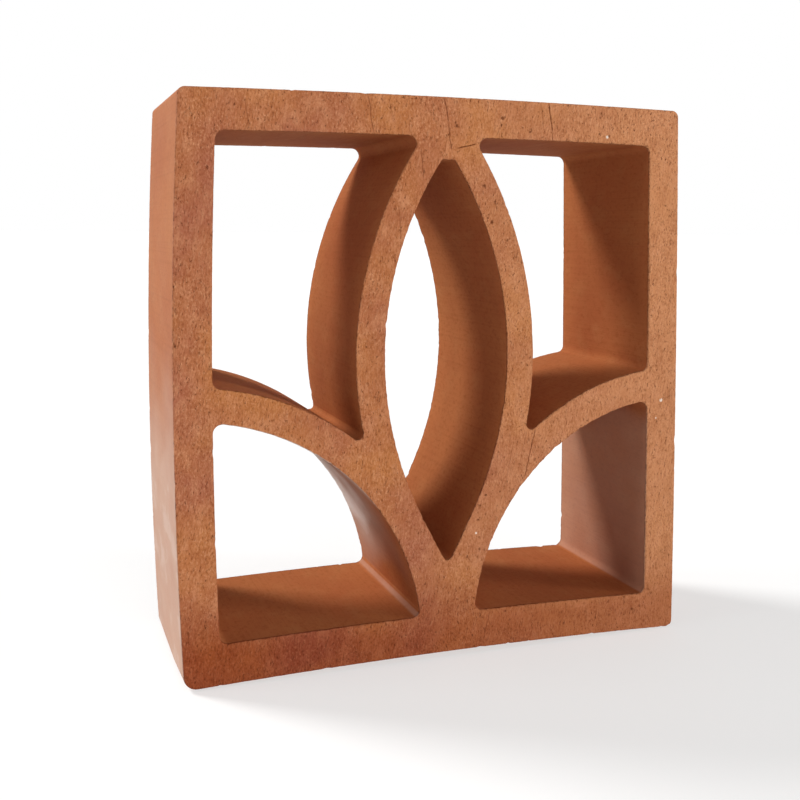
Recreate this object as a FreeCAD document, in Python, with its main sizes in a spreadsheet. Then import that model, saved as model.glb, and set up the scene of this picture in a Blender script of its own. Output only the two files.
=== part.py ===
# Terracotta breeze block: one piece of clay, extruded through a die, cut to depth by a wire, fired.
#
# Millimetres. +Z is up, X runs across the face and Y runs through the depth, the way the clay was
# extruded. The origin is the middle of the bottom face. The section is the same all the way
# through: a rectangular frame round five openings, which leave two bowed webs standing as a
# pointed leaf, and two quarter-round webs that spring from the side walls to the leaf's foot.
import FreeCAD
import Part
import math
import os
from FreeCAD import Vector
from Sketcher import Constraint

doc = FreeCAD.newDocument("BreezeBlock")

# --- Driving dimensions ---------------------------------------------------------------------
DRIVING = [
    ("block_width", 190.0, "overall, along X"),
    ("block_height", 200.0, "overall, along Z"),
    ("block_depth", 65.0, "overall, along Y, from cut face to cut face"),
    ("side_wall", 12.8, "thickness of the left and right walls"),
    ("end_wall", 14.0, "thickness of the top and bottom walls"),
    ("leaf_width", 46.4, "leaf opening, across its middle"),
    ("leaf_foot", 34.5, "bottom face up to the leaf opening's lower tip"),
    ("leaf_cover", 18.5, "clay from the leaf opening's upper tip to the top face"),
    ("leaf_web", 10.4, "thickness of the webs on both sides of the leaf opening"),
    ("arc_web", 11.6, "thickness of the quarter-round webs"),
    ("arc_rise", 5.0, "height of the quarter rounds' centres above the bottom face"),
    ("foot_width", 20.0, "clay between the two quarter rounds, at their centres' height"),
    ("wall_round", 3.0, "radius of the openings' corners against the outer walls"),
    ("web_round", 2.0, "radius where a quarter round meets the leaf, and at the leaf's tips"),
    ("outer_round", 2.5, "radius of the block's four outer corners"),
]
dims = doc.addObject("Spreadsheet::Sheet", "Dims")
for row, (name, size, meaning) in enumerate(DRIVING, start=1):
    dims.set(f"A{row}", name)
    dims.set(f"B{row}", str(size))
    dims.set(f"C{row}", meaning)
    dims.setAlias(f"B{row}", name)
doc.recompute()

# What follows from the driving sizes. Each side of the leaf opening is an arc of a circle that
# passes through both tips, with its centre on the far side of the leaf. A quarter round's centre
# lies on the block's side face, and its web is added outside its radius.
LENGTH = "(Dims.block_height - Dims.leaf_foot - Dims.leaf_cover)"
WIDTH = "Dims.leaf_width"
FOLLOWS = {
    "side_face": "Dims.block_width / 2",
    "wall_face": "Dims.block_width / 2 - Dims.side_wall",
    "floor": "Dims.end_wall",
    "ceiling": "Dims.block_height - Dims.end_wall",
    "leaf_top": "Dims.block_height - Dims.leaf_cover",
    "leaf_foot": "Dims.leaf_foot",
    "leaf_middle": f"Dims.leaf_foot + {LENGTH} / 2",
    "centre_right": f"({LENGTH}^2 - {WIDTH}^2) / (4 * {WIDTH})",
    "centre_left": f"-({LENGTH}^2 - {WIDTH}^2) / (4 * {WIDTH})",
    "leaf_inside": f"({LENGTH}^2 + {WIDTH}^2) / (4 * {WIDTH})",
    "leaf_outside": f"({LENGTH}^2 + {WIDTH}^2) / (4 * {WIDTH}) + Dims.leaf_web",
    "arc_rise": "Dims.arc_rise",
    "arc_underside": "(Dims.block_width - Dims.foot_width) / 2",
    "arc_top": "(Dims.block_width - Dims.foot_width) / 2 + Dims.arc_web",
}


def now(name):
    """The present value, in millimetres, of a size that follows from the sheet."""
    return float(dims.evalExpression(FOLLOWS[name]))


# --- The body and its sketches, all on the body's own XZ plane ----------------------------------
body = doc.addObject("PartDesign::Body", "BreezeBlock")
body.Label = "breeze_block"
planes = {feature.Role: feature for feature in body.Origin.OriginFeatures}

START, END, CENTRE = 1, 2, 3  # the named points of a sketch's curve
ORIGIN = (-1, 1)  # the sketch's own origin point


def section_sketch(name):
    """An empty sketch of the section: its X is the block's X and its Y is the block's Z."""
    sketch = body.newObject("Sketcher::SketchObject", name)
    sketch.AttachmentSupport = (planes["XZ_Plane"], [""])
    sketch.MapMode = "FlatFace"
    return sketch


def circle(across, up, radius):
    """A circle of the section, from the names of its centre's place and its radius."""
    return Part.Circle(Vector(now(across), now(up)), Vector(0, 0, 1), now(radius))


def right_at(round_edge, height):
    """The point of a circle at a height, on its right."""
    centre = round_edge.Center
    reach = math.sqrt(round_edge.Radius**2 - (height - centre.y) ** 2)
    return Vector(centre.x + reach, height)


def top_at(round_edge, across):
    """The point of a circle at a distance across, on its top."""
    centre = round_edge.Center
    reach = math.sqrt(round_edge.Radius**2 - (across - centre.x) ** 2)
    return Vector(across, centre.y + reach)


def left_at(round_edge, height):
    """The point of a circle at a height, on its left."""
    mirrored = right_at(round_edge, height)
    return Vector(2 * round_edge.Center.x - mirrored.x, height)


def upper_crossing(first, second):
    """The higher of the two points where two circles cross."""
    crossing = max(first.intersectCC(second), key=lambda point: point.Y)
    return Vector(crossing.X, crossing.Y)


def add_line(sketch, start, end):
    return sketch.addGeometry(Part.LineSegment(start, end), False)


def add_arc(sketch, round_edge, start, end):
    """The arc of a circle that runs anticlockwise between two points on it."""
    arc = Part.ArcOfCircle(round_edge, round_edge.parameter(start), round_edge.parameter(end))
    return sketch.addGeometry(arc, False)


def close_loop(sketch, curves):
    """Join each curve's end to the next one's start, and the last to the first."""
    for curve, following in zip(curves, curves[1:] + curves[:1]):
        sketch.addConstraint(Constraint("Coincident", curve, END, following, START))


def bind(sketch, label, expression, kind, *elements):
    """Add a dimension and tie it to an expression over the sheet."""
    size = float(dims.evalExpression(expression))
    index = sketch.addConstraint(Constraint(kind, *elements, size))
    sketch.renameConstraint(index, label)
    sketch.setExpression(f"Constraints.{label}", expression)


def bind_place(sketch, label, curve, point, across, up):
    """Tie a point's distance across from the axis, and up from the bottom face."""
    bind(sketch, f"{label}_across", FOLLOWS[across], "DistanceX", *ORIGIN, curve, point)
    bind(sketch, f"{label}_up", FOLLOWS[up], "DistanceY", *ORIGIN, curve, point)


def bind_circle(sketch, label, arc, across, up, radius):
    """Tie an arc's centre and radius."""
    bind_place(sketch, label, arc, CENTRE, across, up)
    bind(sketch, f"{label}_radius", FOLLOWS[radius], "Radius", arc)


def block_outline():
    """The block's outer rectangle, standing on the X axis."""
    sketch = section_sketch("BlockOutline")
    right, top = now("side_face"), dims.block_height
    corners = [Vector(-right, 0), Vector(right, 0), Vector(right, top), Vector(-right, top)]
    bottom_face = add_line(sketch, corners[0], corners[1])
    right_face = add_line(sketch, corners[1], corners[2])
    top_face = add_line(sketch, corners[2], corners[3])
    left_face = add_line(sketch, corners[3], corners[0])
    close_loop(sketch, [bottom_face, right_face, top_face, left_face])
    sketch.addConstraint(Constraint("Horizontal", bottom_face))
    sketch.addConstraint(Constraint("Horizontal", top_face))
    sketch.addConstraint(Constraint("Vertical", right_face))
    sketch.addConstraint(Constraint("Vertical", left_face))
    sketch.addConstraint(Constraint("PointOnObject", *ORIGIN, bottom_face))
    bind(sketch, "half", FOLLOWS["side_face"], "DistanceX", *ORIGIN, bottom_face, END)
    bind(sketch, "across", "Dims.block_width", "DistanceX", bottom_face, START, bottom_face, END)
    bind(sketch, "tall", "Dims.block_height", "DistanceY", right_face, START, right_face, END)
    return sketch


def leaf_opening():
    """The pointed leaf: two arcs that meet on the axis, at an upper and a lower tip."""
    sketch = section_sketch("LeafOpening")
    foot = Vector(0, now("leaf_foot"))
    tip = Vector(0, now("leaf_top"))
    right = add_arc(sketch, circle("centre_left", "leaf_middle", "leaf_inside"), foot, tip)
    left = add_arc(sketch, circle("centre_right", "leaf_middle", "leaf_inside"), tip, foot)
    close_loop(sketch, [right, left])
    bind_circle(sketch, "right_side", right, "centre_left", "leaf_middle", "leaf_inside")
    bind_circle(sketch, "left_side", left, "centre_right", "leaf_middle", "leaf_inside")
    return sketch


def upper_opening():
    """The right upper opening: ceiling, side wall, top of the quarter round, side of the leaf."""
    sketch = section_sketch("UpperOpening")
    leaf_side = circle("centre_left", "leaf_middle", "leaf_outside")
    quarter_top = circle("side_face", "arc_rise", "arc_top")
    corner = Vector(now("wall_face"), now("ceiling"))
    wall_foot = top_at(quarter_top, corner.x)
    meeting = upper_crossing(leaf_side, quarter_top)
    leaf_head = right_at(leaf_side, corner.y)
    ceiling = add_line(sketch, leaf_head, corner)
    wall = add_line(sketch, corner, wall_foot)
    quarter = add_arc(sketch, quarter_top, wall_foot, meeting)
    leaf = add_arc(sketch, leaf_side, meeting, leaf_head)
    close_loop(sketch, [ceiling, wall, quarter, leaf])
    sketch.addConstraint(Constraint("Horizontal", ceiling))
    sketch.addConstraint(Constraint("Vertical", wall))
    bind_place(sketch, "corner", ceiling, END, "wall_face", "ceiling")
    bind_circle(sketch, "quarter", quarter, "side_face", "arc_rise", "arc_top")
    bind_circle(sketch, "leaf", leaf, "centre_left", "leaf_middle", "leaf_outside")
    return sketch


def lower_opening():
    """The right lower opening: side wall, floor and the underside of the quarter round."""
    sketch = section_sketch("LowerOpening")
    underside = circle("side_face", "arc_rise", "arc_underside")
    corner = Vector(now("wall_face"), now("floor"))
    wall_head = top_at(underside, corner.x)
    floor_foot = left_at(underside, corner.y)
    floor = add_line(sketch, floor_foot, corner)
    wall = add_line(sketch, corner, wall_head)
    quarter = add_arc(sketch, underside, wall_head, floor_foot)
    close_loop(sketch, [floor, wall, quarter])
    sketch.addConstraint(Constraint("Horizontal", floor))
    sketch.addConstraint(Constraint("Vertical", wall))
    bind_place(sketch, "corner", floor, END, "wall_face", "floor")
    bind_circle(sketch, "quarter", quarter, "side_face", "arc_rise", "arc_underside")
    return sketch


# --- The extruded column of clay and its five openings -------------------------------------------
column = body.newObject("PartDesign::Pad", "Column")
column.Profile = block_outline()
column.SideType = "Symmetric"
column.setExpression("Length", "Dims.block_depth")
doc.recompute()


def cut_through(name, sketch):
    """Cut a sketched opening right through the depth, and check that it takes clay away."""
    before = body.Tip.Shape.Volume
    opening = body.newObject("PartDesign::Pocket", name)
    opening.Profile = sketch
    opening.Type = "ThroughAll"
    opening.SideType = "Symmetric"
    doc.recompute()
    if not opening.Shape.Volume < before:
        raise RuntimeError(f"{name} cuts nothing")
    return opening


leaf_cut = cut_through("LeafCut", leaf_opening())
upper_cut = cut_through("UpperCut", upper_opening())
lower_cut = cut_through("LowerCut", lower_opening())

left_side = body.newObject("PartDesign::Mirrored", "LeftSide")
left_side.Originals = [upper_cut, lower_cut]
left_side.MirrorPlane = (planes["YZ_Plane"], [""])
body.Tip = left_side
doc.recompute()


# --- Rounded corners, along the depth --------------------------------------------------------
TOUCH = 0.001  # places closer than this are the same place


def corner_names(feature, chosen):
    """The names of a feature's edges along Y whose place in the section is chosen."""
    names = []
    for number, edge in enumerate(feature.Shape.Edges, start=1):
        first, last = edge.firstVertex().Point, edge.lastVertex().Point
        along_depth = math.dist((first.x, first.z), (last.x, last.z)) < TOUCH
        if along_depth and chosen(abs(first.x), first.z):
            names.append(f"Edge{number}")
    return names


def same(one, other):
    return abs(one - other) < TOUCH


def on_block_corner(across, up):
    return same(across, now("side_face"))


def on_outer_wall(across, up):
    return same(across, now("wall_face")) or same(up, now("ceiling")) or same(up, now("floor"))


def on_web(across, up):
    return not on_block_corner(across, up) and not on_outer_wall(across, up)


def round_corners(name, chosen, radius, count):
    """Round the chosen corners of the section, and check how many there are."""
    base = body.Tip
    edges = corner_names(base, chosen)
    if len(edges) != count:
        raise RuntimeError(f"{name} found {len(edges)} corners, not {count}")
    rounding = body.newObject("PartDesign::Fillet", name)
    rounding.Base = (base, edges)
    rounding.setExpression("Radius", radius)
    doc.recompute()


# The two tips of the leaf and the two meetings of web with web come first, while every other
# corner is still on a wall; then three corners for each side opening, then the block's own.
round_corners("WebCorners", on_web, "Dims.web_round", 4)
round_corners("WallCorners", on_outer_wall, "Dims.wall_round", 12)
round_corners("OuterCorners", on_block_corner, "Dims.outer_round", 4)

# --- Checks and export --------------------------------------------------------------------------
for item in doc.Objects:
    if "Invalid" in item.State or "Error" in item.State:
        raise RuntimeError(f"{item.Name} failed: {item.State}")
for sketch in doc.findObjects("Sketcher::SketchObject"):
    if not sketch.FullyConstrained:
        raise RuntimeError(f"{sketch.Name} isn't fully constrained")
if body.Shape.isNull() or not body.Shape.isValid() or len(body.Shape.Solids) != 1:
    raise RuntimeError("the block isn't one valid solid")

os.makedirs("parts", exist_ok=True)
body.Shape.exportStep(f"parts/{body.Label}.step")
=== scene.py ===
import bpy
import bmesh
import math
import random
from mathutils import Matrix, Vector, kdtree, noise


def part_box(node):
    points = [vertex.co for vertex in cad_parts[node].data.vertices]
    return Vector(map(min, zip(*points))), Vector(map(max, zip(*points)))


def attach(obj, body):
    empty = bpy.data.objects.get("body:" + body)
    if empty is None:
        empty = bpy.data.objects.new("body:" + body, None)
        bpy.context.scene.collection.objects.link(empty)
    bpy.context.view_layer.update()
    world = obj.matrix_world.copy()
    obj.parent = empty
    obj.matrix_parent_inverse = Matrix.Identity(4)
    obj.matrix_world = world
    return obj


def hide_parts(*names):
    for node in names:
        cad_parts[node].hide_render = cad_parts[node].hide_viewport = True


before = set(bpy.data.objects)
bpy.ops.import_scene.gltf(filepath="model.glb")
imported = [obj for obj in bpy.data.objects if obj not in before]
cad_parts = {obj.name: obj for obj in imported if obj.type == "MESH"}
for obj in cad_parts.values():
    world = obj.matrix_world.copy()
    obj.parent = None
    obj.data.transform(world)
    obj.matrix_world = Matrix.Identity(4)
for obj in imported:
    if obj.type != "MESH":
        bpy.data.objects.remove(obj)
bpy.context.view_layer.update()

# === Breeze block: the clay body ==============================================================
# One column of stiff red clay, pushed through a die along the depth (Y), sliced by a taut wire
# at the front and back, dried and fired. The die leaves the walls smooth, the wire drags grit
# across the cut faces and tears their edges, and the kiln bows the walls a little.
MM = 0.001
low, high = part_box("breeze_block")
WIDTH, DEPTH, HEIGHT = high - low

clay = bmesh.new()
clay.from_mesh(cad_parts["breeze_block"].data)
bmesh.ops.remove_doubles(clay, verts=clay.verts, dist=0.001 * MM)
bmesh.ops.dissolve_limit(
    clay, angle_limit=math.radians(0.2), verts=clay.verts, edges=clay.edges
)

# The edges that the wire left are worn round, so each one gets a narrow rounded band.
ARRIS = 0.4 * MM


def is_arris(edge):
    """True where a cut face meets a wall."""
    flat = [abs(face.normal.y) > 0.99 for face in edge.link_faces]
    return len(flat) == 2 and flat[0] != flat[1]


bmesh.ops.bevel(
    clay,
    geom=[edge for edge in clay.edges if is_arris(edge)],
    offset=ARRIS,
    segments=2,
    profile=0.5,
    affect="EDGES",
    material=-1,
)

# Close parallel cuts give the surface the points that its relief needs: about a millimetre apart
# across the section, and wider along the depth, where the die drew the walls out straight.
CELL = 0.93 * MM
NEAR_CUT = (1.1 * MM, 2.2 * MM, 4.0 * MM)
ALONG = 6.5 * MM


def evenly(start, end, step):
    """Places between start and end, about a step apart."""
    count = round((end - start) / step)
    return [start + (end - start) * i / count for i in range(1, count)]


def cut_across(direction, places):
    for place in places:
        bmesh.ops.bisect_plane(
            clay,
            geom=clay.verts[:] + clay.edges[:] + clay.faces[:],
            dist=0.001 * MM,
            plane_co=direction * place,
            plane_no=direction,
        )


cut_across(Vector((1, 0, 0)), evenly(low.x, high.x, CELL))
cut_across(Vector((0, 0, 1)), evenly(low.z, high.z, CELL))
cut_across(Vector((0, 1, 0)), evenly(low.y + NEAR_CUT[2], high.y - NEAR_CUT[2], ALONG))
cut_across(Vector((0, 1, 0)), [low.y + inset for inset in NEAR_CUT])
cut_across(Vector((0, 1, 0)), [high.y - inset for inset in NEAR_CUT])

# The stored model draws its curves as flat facets. Points on a facet move out to the true curve:
# the two sides of the leaf, inside and outside, and the quarter rounds, above and below.
LEAF_WIDTH = 46.4 * MM
LEAF_FOOT = 34.5 * MM
LEAF_COVER = 18.5 * MM
LEAF_WEB = 10.4 * MM
ARC_WEB = 11.6 * MM
ARC_RISE = 5 * MM
FOOT_WIDTH = 20 * MM
FACET = 0.09 * MM  # no facet lies further than this from its curve

leaf_length = HEIGHT - LEAF_FOOT - LEAF_COVER
leaf_middle = LEAF_FOOT + leaf_length / 2
leaf_radius = (leaf_length**2 + LEAF_WIDTH**2) / (4 * LEAF_WIDTH)
leaf_offset = leaf_radius - LEAF_WIDTH / 2
arc_radius = (WIDTH - FOOT_WIDTH) / 2
curves = []
for side in (-1, 1):
    for radius in (leaf_radius, leaf_radius + LEAF_WEB):
        curves.append((Vector((side * leaf_offset, leaf_middle)), radius))
    for radius in (arc_radius, arc_radius + ARC_WEB):
        curves.append((Vector((side * WIDTH / 2, ARC_RISE)), radius))

for vert in clay.verts:
    for centre, radius in curves:
        arm = vert.co.xz - centre
        if abs(arm.length - radius) < FACET:
            arm *= radius / arm.length
            vert.co.x = centre.x + arm.x
            vert.co.z = centre.y + arm.y

# Clay fills the leaf's upper tip a little, so the opening ends blunt there.
TIP_FILL = 3.6 * MM
tip_top = HEIGHT - LEAF_COVER - TIP_FILL
leaf_sides = [centre for centre, radius in curves if radius == leaf_radius]
for vert in clay.verts:
    if vert.co.z > tip_top and abs(vert.co.x) < TIP_FILL:
        into_clay = max((vert.co.xz - centre).length - leaf_radius for centre in leaf_sides)
        if into_clay < ARRIS * 1.2:
            vert.co.z = min(vert.co.z, tip_top + max(into_clay, 0))

# The lower left corner is worn rounder at the front than the die left it. Each point of that corner
# draws in towards the rounder arc, less so towards the middle of the block and the back.
WORN_ROUND = 4.8 * MM
CAST_ROUND = 2.5 * MM
WORN_DEPTH = 22 * MM
inset = WORN_ROUND - CAST_ROUND
worn_centre = Vector((low.x + WORN_ROUND, low.z + WORN_ROUND))
for vert in clay.verts:
    arm = vert.co.xz - worn_centre
    if arm.x < 0 and arm.y < 0 and vert.co.y < low.y + WORN_DEPTH:
        way = arm.normalized()
        both = -inset * (way.x + way.y)
        to_cast = both + math.sqrt(max(both**2 - 2 * inset**2 + CAST_ROUND**2, 0))
        to_line = WORN_ROUND / max(-way.x, -way.y)
        outline = to_cast if to_cast * min(-way.x, -way.y) > inset else to_line
        share = (arm.length / outline) ** 2 * (1 - (vert.co.y - low.y) / WORN_DEPTH)
        arm *= 1 - (1 - WORN_ROUND / outline) * share
        vert.co.x = worn_centre.x + arm.x
        vert.co.z = worn_centre.y + arm.y

# Which points the wire cut, and which are on the worn band between a cut face and a wall.
cut_points = set()
worn_points = set()
for vert in clay.verts:
    to_cut = DEPTH / 2 - abs(vert.co.y)
    if to_cut < 0.01 * MM:
        cut_points.add(vert.index)
    elif to_cut < ARRIS * 1.05:
        worn_points.add(vert.index)

# The kiln's warp, largest half way along each wall. The left wall bows out the most, the top and
# bottom walls rise, and the whole section leans a little to the left towards its top.
BOW_LEFT = 2.7 * MM
BOW_RIGHT = 0.6 * MM
BOW_BOTTOM = 1.8 * MM
BOW_TOP = 0.85 * MM
LEAN = 1.9 * MM
# The leaf's lower tip was drawn out downwards, over a patch of this width and height.
TIP_SAG = 2.2 * MM
SAG_ACROSS = 9 * MM
SAG_UP = 13 * MM


def bowed(share):
    """0 at both ends of a wall and 1 half way along it."""
    return 1 - (2 * share - 1) ** 2


for vert in clay.verts:
    across = vert.co.x / (WIDTH / 2)
    up = vert.co.z / HEIGHT
    pull = BOW_LEFT * max(-across, 0) - BOW_RIGHT * max(across, 0)
    lift = BOW_BOTTOM * (1 - up) + BOW_TOP * up
    vert.co.x -= pull * bowed(up) + LEAN * (up - 0.5)
    vert.co.z += lift * bowed((across + 1) / 2)
    from_tip = Vector((vert.co.x / SAG_ACROSS, (vert.co.z - LEAF_FOOT) / SAG_UP))
    vert.co.z -= TIP_SAG * math.exp(-from_tip.length_squared)

# Relief of the surfaces, in and out along each point's normal. The wire leaves shallow waves,
# upright drag marks and grit on the cut faces. The die leaves faint straight lines on the walls.
clay.normal_update()


def ripple(place, across, deep, up, seed):
    """Smooth noise between about -1 and 1, with its grain size given along each axis."""
    return noise.noise(Vector((place.x / across, place.y / deep, place.z / up)) + Vector((seed,) * 3))


shifts = {}
for vert in clay.verts:
    place = vert.co
    if vert.index in cut_points:
        wave = 0.22 * ripple(place, 34 * MM, 34 * MM, 34 * MM, 3)
        drag = 0.11 * ripple(place, 1.7 * MM, 40 * MM, 7 * MM, 11)
        grit = 0.05 * ripple(place, 1.1 * MM, 1.1 * MM, 1.1 * MM, 23)
        shift = wave + drag + grit
    elif vert.index in worn_points:
        shift = -0.04 + 0.06 * ripple(place, 1.7 * MM, 1.7 * MM, 1.7 * MM, 31)
    else:
        sway = 0.10 * ripple(place, 28 * MM, 60 * MM, 28 * MM, 41)
        line = 0.035 * ripple(place, 1.5 * MM, 300 * MM, 1.5 * MM, 53)
        shift = sway + line
    shifts[vert.index] = vert.normal * (shift * MM)

# Pits where grit was torn out of the cut faces, drawn out in the wire's direction, and chips
# along the worn edges. Each pushes the points round its middle back into the clay.
chance = random.Random(77)
clay.verts.ensure_lookup_table()
points = kdtree.KDTree(len(clay.verts))
for vert in clay.verts:
    points.insert(vert.co, vert.index)
points.balance()


def dent(middle, length, width, depth, lean):
    """Press an oval dent into the clay, its length upright and leaning by an angle."""
    turn = Matrix.Rotation(lean, 3, "Y")
    for place, index, _ in points.find_range(middle, length):
        reach = turn @ (place - middle)
        nearness = 1 - (reach.x / width) ** 2 - (reach.y / length) ** 2 - (reach.z / length) ** 2
        if nearness > 0:
            shifts[index] -= clay.verts[index].normal * (depth * nearness)


PITS = 260
CHIPS = 110
cut_list = sorted(cut_points)
worn_list = sorted(worn_points)
for _ in range(PITS):
    middle = clay.verts[chance.choice(cut_list)].co
    length = chance.uniform(0.9, 2.3) * MM
    width = length * chance.uniform(0.4, 0.75)
    lean = math.radians(chance.gauss(-8, 14))
    dent(middle, length, width, chance.uniform(0.15, 0.45) * MM, lean)
for _ in range(CHIPS):
    middle = clay.verts[chance.choice(worn_list)].co
    size = chance.uniform(0.7, 1.6) * MM
    dent(middle, size, size, size * chance.uniform(0.08, 0.2), 0)

for vert in clay.verts:
    vert.co += shifts[vert.index]

# What the finish needs to know of each point: whether the wire cut it, whether it is on a worn
# edge, and how pale it is painted, partly with salt out of the clay and partly with painted light.
# The left outer wall has a thin veil of salt and a painted reflection of the floor on its lower half.
# Under the left quarter round lie salt and a painted sheen that grows paler towards the back and up
# the round. The lowest inner corners and the low part of the right inner wall get only painted sheen.
wire_cut = clay.verts.layers.float.new("wire_cut")
worn_edge = clay.verts.layers.float.new("worn_edge")
salt_bloom_and_sheen = clay.verts.layers.float.new("salt_bloom_and_sheen")


def ramp(value, start, end):
    """0 at start, 1 at end, and smooth between."""
    share = min(max((value - start) / (end - start), 0), 1)
    return share * share * (3 - 2 * share)


for vert in clay.verts:
    worn = vert.index in worn_points
    vert[wire_cut] = 1.0 if worn or vert.index in cut_points else 0.0
    vert[worn_edge] = 1.0 if worn else 0.0
    uneven = 0.07 * ripple(vert.co, 26 * MM, 26 * MM, 26 * MM, 61)
    height = vert.co.z / HEIGHT + uneven
    inward = (vert.co.y - low.y) / DEPTH + uneven
    facing = vert.normal
    outer_left = ramp(-facing.x, 0.6, 0.9) * ramp(-vert.co.x, WIDTH / 2 - 6 * MM, WIDTH / 2 - 3 * MM)
    off_round = abs((vert.co.xz - Vector((low.x, ARC_RISE))).length - arc_radius)
    under_left = ramp(-facing.x - facing.z, 0.6, 1.0) * ramp(off_round, 7 * MM, 5 * MM)
    under_left *= ramp(vert.co.x, low.x + 8 * MM, low.x + 12 * MM)
    # A painted sheen on the fillets where the lowest floors meet the walls to their right.
    corner_sheen = ramp(min(-facing.x, facing.z), 0.3, 0.6) * ramp(height, 0.15, 0.12)
    # A painted sheen low on the right inner wall.
    right_wall_sheen = ramp(-facing.x, 0.6, 0.9) * ramp(vert.co.x, 70 * MM, 75 * MM) * ramp(height, 0.46, 0.4)
    vert[salt_bloom_and_sheen] = max(
        outer_left * (0.12 + 0.6 * ramp(height, 0.6, 0.28)),
        under_left * ramp(height, 0.1, 0.2) * max(ramp(inward, 0.0, 0.6), ramp(height, 0.28, 0.4)),
        corner_sheen * 0.3,
        right_wall_sheen * 0.3,
    )

block_mesh = bpy.data.meshes.new("clay_block")
for face in clay.faces:
    face.smooth = True
clay.to_mesh(block_mesh)
clay.free()
block = bpy.data.objects.new("clay_block", block_mesh)
bpy.context.scene.collection.objects.link(block)
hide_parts("breeze_block")
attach(block, "root")

# --- Fired red clay ---
# Terracotta: iron-red earthenware, fired once and left unglazed. The cut faces are dry and
# grainy, with dark grog and torn pits. The walls the die drew are closer and smoother.


def linear(code):
    """An sRGB hex colour as the linear colour that a shader takes."""
    channels = [int(code[i : i + 2], 16) / 255 for i in (1, 3, 5)]
    return [c / 12.92 if c <= 0.04045 else ((c + 0.055) / 1.055) ** 2.4 for c in channels] + [1]


terracotta = bpy.data.materials.new("fired red clay")
terracotta.use_nodes = True
clay_nodes = terracotta.node_tree


def add_node(tree, kind, links=None, **settings):
    """Add a node. Settings are its own properties or, by socket name, its inputs' values."""
    node = tree.nodes.new(kind)
    for key, value in settings.items():
        if hasattr(node, key):
            setattr(node, key, value)
        else:
            node.inputs[key.replace("_", " ")].default_value = value
    for socket, source in (links or {}).items():
        tree.links.new(source, node.inputs[socket])
    return node


place = add_node(clay_nodes, "ShaderNodeTexCoord").outputs["Object"]
axes = add_node(clay_nodes, "ShaderNodeSeparateXYZ", {"Vector": place})
cut = add_node(clay_nodes, "ShaderNodeAttribute", attribute_name="wire_cut").outputs["Fac"]
DRAG_LEAN = math.radians(-11)  # how far the wire's marks lean from upright
turned = add_node(clay_nodes, "ShaderNodeVectorRotate", {"Vector": place}, rotation_type="Y_AXIS")
turned.inputs["Angle"].default_value = DRAG_LEAN
leaning = turned.outputs["Vector"]
edge = add_node(clay_nodes, "ShaderNodeAttribute", attribute_name="worn_edge").outputs["Fac"]
# The pale paint of each point: salt out of the clay together with painted sheen and painted
# reflection.
salt_and_sheen = add_node(clay_nodes, "ShaderNodeAttribute", attribute_name="salt_bloom_and_sheen").outputs["Fac"]


def grain(across, deep, up, detail=3.0, rough=0.55, shift=0.0, source=place):
    """Noise whose grains measure about so many millimetres along each axis."""
    scales = [1 / (size * MM) for size in (across, deep, up)]
    mapped = add_node(
        clay_nodes, "ShaderNodeMapping", {"Vector": source}, Scale=scales, Location=[shift] * 3
    )
    texture = add_node(
        clay_nodes,
        "ShaderNodeTexNoise",
        {"Vector": mapped.outputs["Vector"]},
        Scale=1.0,
        Detail=detail,
        Roughness=rough,
    )
    return texture.outputs["Fac"]


def band(value, start, end, first=0.0, last=1.0):
    """Spread a stretch of a value over another, clamped at its ends."""
    ramped = add_node(clay_nodes, "ShaderNodeMapRange", {"Value": value})
    for socket, number in zip(("From Min", "From Max", "To Min", "To Max"), (start, end, first, last)):
        ramped.inputs[socket].default_value = number
    return ramped.outputs["Result"]


def work(operation, first, second=None, third=None):
    """Arithmetic on sockets and plain numbers."""
    node = add_node(clay_nodes, "ShaderNodeMath", operation=operation)
    for socket, source in zip(node.inputs, (first, second, third)):
        if isinstance(source, (int, float)):
            socket.default_value = source
        elif source is not None:
            clay_nodes.links.new(source, socket)
    return node.outputs["Value"]


def tint(below, above, share, blend="MIX"):
    """Lay one colour over another by a share. A colour is a hex code or a socket."""
    node = add_node(clay_nodes, "ShaderNodeMix", data_type="RGBA", blend_type=blend)
    for name, source in (("A", below), ("B", above)):
        socket = [s for s in node.inputs if s.name == name and s.type == "RGBA"][0]
        if isinstance(source, str):
            socket.default_value = linear(source)
        else:
            clay_nodes.links.new(source, socket)
    if isinstance(share, (int, float)):
        node.inputs["Factor"].default_value = share
    else:
        clay_nodes.links.new(share, node.inputs["Factor"])
    return [s for s in node.outputs if s.type == "RGBA"][0]


# Fired colour: the kiln leaves broad clouds from pink to orange, a mottle of a few millimetres
# and a fine grain. The block is paler towards its right, and painted shade darkens its foot.
across = axes.outputs["X"]
up = axes.outputs["Z"]
clouds = band(grain(38, 38, 38), 0.36, 0.64)
cut_colour = tint("#A36147", "#B57345", clouds)
sway = work("MULTIPLY", work("SUBTRACT", grain(30, 30, 30, 3.0, shift=7.0), 0.5), 60 * MM)
rightward = band(work("ADD", across, sway), -15 * MM, 80 * MM, 0.0, 0.85)
cut_colour = tint(cut_colour, "#C4865C", rightward)
mottle = grain(4.5, 4.5, 7.0, 5.0)
cut_colour = tint(cut_colour, "#C88A64", band(mottle, 0.5, 0.72, 0.0, 0.5))
cut_colour = tint(cut_colour, "#8C4A28", band(mottle, 0.47, 0.28, 0.0, 0.3))
streaks = grain(0.6, 0.8, 2.0, 4.0, 0.6, shift=12.0, source=leaning)
cut_colour = tint(cut_colour, "#D29A74", band(streaks, 0.53, 0.68, 0.0, 0.25))
cut_colour = tint(cut_colour, "#854526", band(streaks, 0.47, 0.33, 0.0, 0.35))
fine = grain(0.6, 0.6, 1.0, 3.0, 0.65)
gritty = band(grain(16, 16, 16, 2.0, shift=3.0), 0.35, 0.65, 0.45, 1.0)
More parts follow.
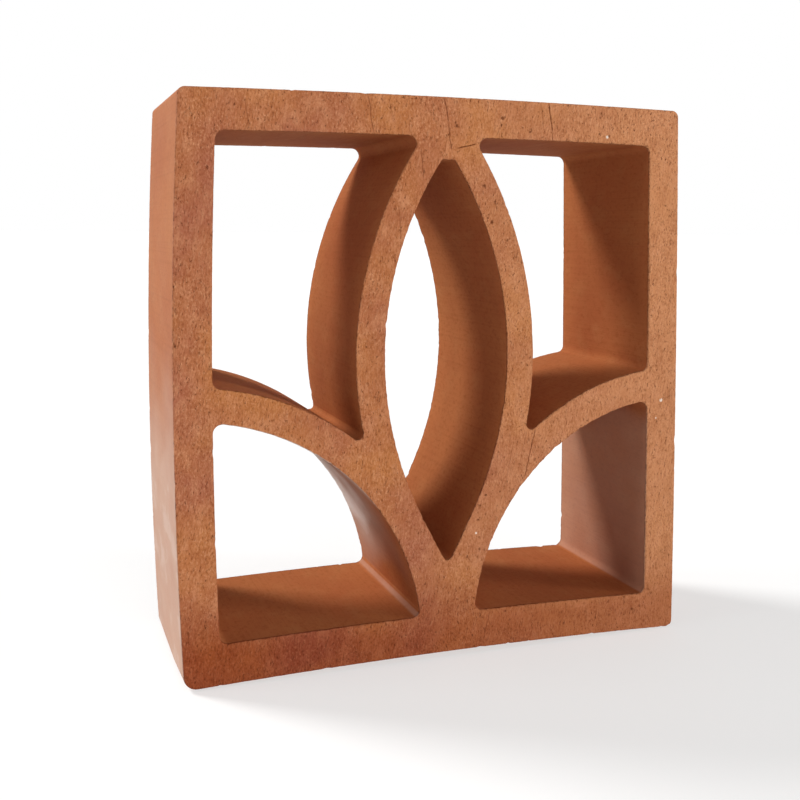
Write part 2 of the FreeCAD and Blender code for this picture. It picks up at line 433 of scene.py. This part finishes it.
cut_colour = tint(cut_colour, "#D8A078", work("MULTIPLY", band(fine, 0.54, 0.72, 0.0, 0.6), gritty))
cut_colour = tint(cut_colour, "#74381C", work("MULTIPLY", band(fine, 0.46, 0.3, 0.0, 0.7), gritty))
# Painted shade: the foot of the block darker and browner, most towards the left.
foot_shade = band(work("MULTIPLY_ADD", sway, 0.25, up), 32 * MM, 10 * MM)
foot_shade = work("MULTIPLY", foot_shade, band(across, -90 * MM, 90 * MM, 0.95, 0.6))
cut_colour = tint(cut_colour, "#CBA497", foot_shade, "MULTIPLY")

# The drawn walls are more even and more orange, with faint lines and cloudy scuffs.
wall_colour = tint("#AA613A", "#B46E42", band(grain(45, 70, 45, shift=4.0), 0.36, 0.64))
drawn = grain(0.9, 120, 0.9, 2.0)
wall_colour = tint(wall_colour, "#8C4A26", band(drawn, 0.5, 0.75, 0.0, 0.2))
wall_colour = tint(wall_colour, "#BC8052", band(grain(7, 11, 7, 5.0), 0.5, 0.8, 0.0, 0.3))
scuffs = grain(1.3, 2.2, 1.3, 4.0, 0.65, shift=5.0)
wall_colour = tint(wall_colour, "#8A4824", band(scuffs, 0.5, 0.72, 0.0, 0.4))

# Dark specks of grog and torn pores, drawn out upright by the wire: a few large, many small. The
# worn edges are torn all along.
torn = band(grain(0.8, 1.2, 2.4, 3.0, 0.65, shift=9.0, source=leaning), 0.645, 0.68)
pores = band(grain(0.5, 0.7, 1.2, 1.0, shift=15.0), 0.67, 0.74)
speck = work("MAXIMUM", torn, work("MULTIPLY", pores, 0.7))
speck_on_cut = work("MULTIPLY", speck, work("MULTIPLY_ADD", cut, 0.85, 0.15))
ragged = work("MULTIPLY", band(grain(1.3, 1.3, 1.3, 2.0, shift=21.0), 0.52, 0.62, 0.0, 0.7), edge)
speck_on_cut = work("MAXIMUM", speck_on_cut, ragged)

# Hairlines that the wire tore or drying opened on the front face: from one point to another of
# the section, in millimetres across from the middle and up from the bottom, and how dark it is.
HAIRLINES = [
    ((-31.0, 200.0), (-29.0, 187.5), 0.7),
    ((-23.4, 199.7), (-22.2, 192.6), 0.35),
    ((-2.7, 200.5), (-1.0, 191.9), 0.9),
    ((-1.0, 191.9), (0.1, 182.3), 0.8),
    ((38.3, 199.9), (40.2, 190.0), 1.0),
    ((40.2, 190.0), (40.2, 186.5), 0.7),
    ((35.5, 199.6), (36.4, 190.5), 0.4),
    ((-73.8, 197.3), (-73.0, 188.2), 0.4),
    ((-11.3, 181.9), (-10.1, 172.2), 0.7),
    ((10.1, 184.6), (2.2, 182.9), 0.9),
    ((17.6, 15.6), (14.9, 4.4), 0.5),
    ((62.4, 10.2), (61.2, 5.7), 0.7),
    ((35.0, 81.3), (30.8, 63.3), 0.8),
    ((31.4, 80.5), (28.2, 65.5), 0.35),
    ((25.6, 73.9), (22.6, 59.7), 0.35),
    ((-19.4, 162.6), (-18.5, 150.5), 0.5),
]
wander = work("MULTIPLY", work("SUBTRACT", grain(5, 5, 5, 2.0), 0.5), 1.1 * MM)
in_front = band(axes.outputs["Y"], -DEPTH / 2 + 2 * MM, -DEPTH / 2 + 1 * MM)
cracks = None
for (x_from, z_from), (x_to, z_to), darkness in HAIRLINES:
    run = Vector((x_to - x_from, z_to - z_from)) * MM
    along_x, along_z = run.normalized()
    from_x = work("SUBTRACT", across, x_from * MM)
    from_z = work("SUBTRACT", up, z_from * MM)
    along = work("ADD", work("MULTIPLY", from_x, along_x), work("MULTIPLY", from_z, along_z))
    off = work("SUBTRACT", work("MULTIPLY", from_x, along_z), work("MULTIPLY", from_z, along_x))
    off = work("ABSOLUTE", work("ADD", off, wander))
    middle = work("ABSOLUTE", work("SUBTRACT", along, run.length / 2))
    ends = band(middle, run.length / 2 + 0.3 * MM, run.length / 2 - 0.9 * MM, 0.0, darkness)
    crack = work("MULTIPLY", band(off, 0.24 * MM, 0.06 * MM), ends)
    cracks = crack if cracks is None else work("MAXIMUM", cracks, crack)
cracks = work("MULTIPLY", cracks, in_front)



def spots(marks, plane):
    """Round marks on the plane of a cut face: where, in millimetres, and how wide each one is."""
    found = None
    for (spot_x, spot_z), size in marks:
        spot = add_node(clay_nodes, "ShaderNodeVectorMath", {"Vector": place}, operation="DISTANCE")
        spot.inputs[1].default_value = (spot_x * MM, plane, spot_z * MM)
        mark = band(spot.outputs["Value"], size * MM, size * 0.5 * MM)
        found = mark if found is None else work("MAXIMUM", found, mark)
    return found


# A few flakes of lime show white on the front, and larger pores show dark.
LIME = [((88.9, 89.3), 0.8), ((86.8, 82.5), 0.45), ((63.0, 189.0), 0.7), ((11.6, 44.3), 0.5)]
PORES = [
    ((13.0, 169.9), 0.9),
    ((6.3, 170.8), 0.6),
    ((16.3, 157.0), 0.8),
    ((13.0, 54.1), 0.7),
    ((15.3, 58.0), 0.6),
    ((12.3, 49.0), 0.6),
    ((21.0, 58.7), 0.5),
    ((19.9, 194.2), 0.8),
    ((2.2, 190.8), 0.7),
    ((31.0, 189.7), 0.5),
    ((74.5, 192.1), 0.6),
    ((10.0, 161.6), 0.7),
    ((14.7, 158.5), 0.5),
    ((77.6, 8.9), 0.6),
]
flakes = work("MULTIPLY", spots(LIME, -DEPTH / 2), band(fine, 0.38, 0.48))
pits = work("MULTIPLY", spots(PORES, -DEPTH / 2), band(grain(1.2, 1.2, 1.6, 2.0, shift=2.0), 0.4, 0.5))

colour = tint(wall_colour, cut_colour, cut)
colour = tint(colour, "#5C2A14", work("MULTIPLY", work("MAXIMUM", speck_on_cut, pits), 0.78))
colour = tint(colour, "#6A2F16", work("MULTIPLY", cracks, 0.9))
# Pale patches, partly salt and partly painted sheen and a painted reflection of the floor, whitest
# where most is painted.
patchy_salt_and_sheen = work("MULTIPLY", salt_and_sheen, band(grain(14, 20, 14, 4.0), 0.3, 0.6, 0.8, 1.0))
colour = tint(colour, "#CBB2A3", patchy_salt_and_sheen)
colour = tint(colour, "#EFE6E0", band(patchy_salt_and_sheen, 0.68, 1.0, 0.0, 0.8))
colour = tint(colour, "#E9DACC", flakes)

# Relief too fine for the mesh: grit and torn pores on the cut faces, drawn lines on the walls.
cut_height = work("MULTIPLY_ADD", fine, 0.3, work("MULTIPLY", streaks, 0.6))
cut_height = work("SUBTRACT", cut_height, work("MULTIPLY", work("MAXIMUM", speck, pits), 0.3))
cut_height = work("SUBTRACT", cut_height, work("MULTIPLY", cracks, 0.3))
rubbed = work("MULTIPLY", grain(0.7, 1.2, 0.7, 2.0), 0.04)
wall_height = work("MULTIPLY_ADD", drawn, 0.08, rubbed)
relief = add_node(clay_nodes, "ShaderNodeMix", data_type="FLOAT")
for socket, source in zip(("Factor", "A", "B"), (cut, wall_height, cut_height)):
    clay_nodes.links.new(source, [s for s in relief.inputs if s.name == socket][0])
bump = add_node(
    clay_nodes, "ShaderNodeBump", {"Height": relief.outputs["Result"]}, Strength=1.0, Distance=1.0 * MM
)

surface = clay_nodes.nodes["Principled BSDF"]
surface.inputs["IOR"].default_value = 1.5
surface.inputs["Specular IOR Level"].default_value = 0.04
clay_nodes.links.new(colour, surface.inputs["Base Color"])
clay_nodes.links.new(bump.outputs["Normal"], surface.inputs["Normal"])
clay_nodes.links.new(band(cut, 0.0, 1.0, 0.8, 0.92), surface.inputs["Roughness"])
block_mesh.materials.append(terracotta)

# === Floor =====================================================================================
# A plain white floor, wide enough to run out of sight, that keeps the block's soft shadow.
sweep_mesh = bpy.data.meshes.new("white_sweep")
sweep = bmesh.new()
bmesh.ops.create_grid(sweep, x_segments=1, y_segments=1, size=40.0)
bmesh.ops.translate(sweep, verts=sweep.verts, vec=(0, 0, low.z - 0.15 * MM))
sweep.to_mesh(sweep_mesh)
sweep.free()
floor = bpy.data.objects.new("white_sweep", sweep_mesh)
bpy.context.scene.collection.objects.link(floor)
paper = bpy.data.materials.new("white paper sweep")
paper.use_nodes = True
paper_nodes = paper.node_tree
paper_surface = paper_nodes.nodes["Principled BSDF"]
paper_surface.inputs["Base Color"].default_value = linear("#B4B4B3")
paper_surface.inputs["Roughness"].default_value = 0.9
paper_surface.inputs["Emission Color"].default_value = linear("#FFFFFF")


def seen_directly(tree):
    """1 on rays from the eye or by way of a reflection or glass, and 0 on the light's bounces."""
    paths = add_node(tree, "ShaderNodeLightPath").outputs
    seen = paths["Is Camera Ray"]
    for other in ("Is Glossy Ray", "Is Transmission Ray"):
        either = add_node(tree, "ShaderNodeMath", {0: seen, 1: paths[other]}, operation="MAXIMUM")
        seen = either.outputs["Value"]
    return seen


def brightness(tree, unseen, seen):
    """One strength for the light's bounces and another where a ray from the eye arrives."""
    choice = add_node(tree, "ShaderNodeMapRange", {"Value": seen_directly(tree)})
    choice.inputs["To Min"].default_value = unseen
    choice.inputs["To Max"].default_value = seen
    return choice.outputs["Result"]


paper_nodes.links.new(brightness(paper_nodes, 0.2, 0.54), paper_surface.inputs["Emission Strength"])
sweep_mesh.materials.append(paper)

# === Light =====================================================================================
# Soft studio light: an even white surround, a broad key from behind, above and to the left that
# reaches through the openings, a side light on the left, a low fill from the front, and a raking
# light from the right that shows the drag marks. Suns keep the floor evenly lit.
world = bpy.data.worlds.new("white surround")
world.use_nodes = True
bpy.context.scene.world = world
surround = world.node_tree.nodes["Background"]
surround.inputs["Color"].default_value = linear("#FFFFFF")
world.node_tree.links.new(brightness(world.node_tree, 0.22, 1.0), surround.inputs["Strength"])


def add_sun(name, azimuth, elevation, power, spread):
    """A soft sun. Azimuth 0 stands in front of the block and 90 to its right."""
    lamp = bpy.data.lights.new(name, "SUN")
    lamp.energy = power
    lamp.angle = math.radians(spread)
    sun = bpy.data.objects.new(name, lamp)
    turn, rise = math.radians(azimuth), math.radians(elevation)
    flat = Vector((math.sin(turn), -math.cos(turn), 0))
    towards = flat * math.cos(rise) + Vector((0, 0, math.sin(rise)))
    sun.rotation_euler = towards.to_track_quat("Z", "Y").to_euler()
    bpy.context.scene.collection.objects.link(sun)


add_sun("key from behind", -130, 43, 2.5, 16)
add_sun("side light from the left", -95, 20, 0.85, 30)
add_sun("fill from the front", 0, 9, 1.75, 25)
add_sun("raking light from the right", 62, 10, 1.3, 8)

# === Camera ====================================================================================
# A little to the left of the block and just above its middle, close enough for the near upright
# to look taller than the far one.
lens = bpy.data.cameras.new("view")
lens.sensor_width = 36
lens.lens = 46.15
lens.shift_x = 0.0468
lens.shift_y = -0.1504
lens.clip_start = 0.01
camera = bpy.data.objects.new("view", lens)
camera.location = (-145.04 * MM, -367.32 * MM, 153.91 * MM)
camera.rotation_euler = [math.radians(a) for a in (87.219, -0.398, -18.550)]
bpy.context.scene.collection.objects.link(camera)
bpy.context.scene.camera = camera

bpy.context.scene.view_settings.view_transform = "Standard"
